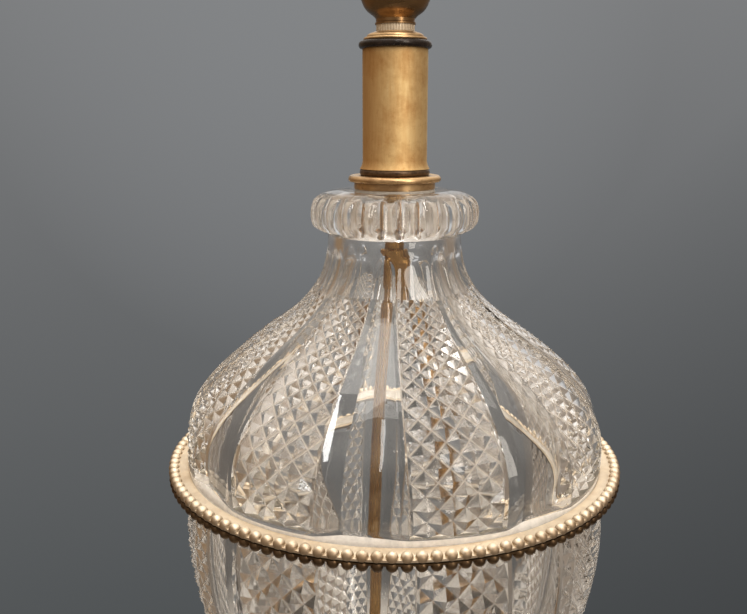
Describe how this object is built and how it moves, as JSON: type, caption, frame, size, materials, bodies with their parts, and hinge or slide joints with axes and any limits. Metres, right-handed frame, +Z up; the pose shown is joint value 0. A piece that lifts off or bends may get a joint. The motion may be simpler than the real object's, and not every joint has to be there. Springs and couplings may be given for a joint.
{
  "type": "table lamp",
  "caption": "Cut crystal table lamp body with a beaded brass seam, brass neck and lampholder on a brass pedestal, with a short cord and plug.",
  "frame": {"origin": "centre of the felt pad's underside", "axes": "+Z up along the lamp's axis, -Y towards the viewer, +X to the viewer's right; the cord leaves at +Y"},
  "size_m": [0.2946, 0.3132, 0.5232],
  "materials": {
    "aged_brass": "aged satin brass",
    "pale_brass": "pale brushed brass",
    "pipe_brass": "plain drawn brass",
    "dark_bronze": "near black bronze",
    "crystal": "polished cut lead crystal",
    "rubber": "soft matt",
    "felt": "dark green felt",
    "iron": "as cast",
    "steel": "zinc plated",
    "phenolic": "moulded",
    "liner_board": "fibre board",
    "cord_sheath": "brown vinyl"
  },
  "bodies": {
    "lamp_body": {"felt_pad": "felt", "base_shell": "aged_brass", "base_weight": "iron", "base_lock_washer": "steel", "base_nut": "steel", "cord_grommet": "rubber", "bottom_cup": "aged_brass", "bottom_washer": "rubber", "upper_crystal": "crystal", "lower_crystal": "crystal", "upper_bead_ring": "pale_brass", "lower_bead_ring": "pale_brass", "upper_rim_seal": "rubber", "lower_rim_seal": "rubber", "seam_gasket": "rubber", "neck_seal": "rubber", "vase_cap": "aged_brass", "foot_ring": "dark_bronze", "neck_tube": "aged_brass", "top_ring": "dark_bronze", "neck_cap": "aged_brass", "knurled_collar": "pale_brass", "lower_pipe": "pipe_brass", "upper_pipe": "pipe_brass", "pipe_coupling": "pipe_brass", "socket_cap": "aged_brass", "socket_shell": "aged_brass", "shell_liner": "liner_board", "switch_block": "phenolic", "terminal_screws": "steel", "screw_shell": "aged_brass", "centre_contact": "aged_brass", "power_cord": "cord_sheath", "lead_wires": "cord_sheath", "plug_body": "cord_sheath", "plug_blades": "aged_brass"},
    "switch_key": {"switch_shaft": "phenolic", "switch_knob": "phenolic"}
  },
  "joints": [
    {"name": "switch_turn", "type": "hinge", "parent": "lamp_body", "child": "switch_key", "pos_m": [0.0275, 0, 0.4912], "axis": [1, 0, 0], "continuous": true}
  ]
}
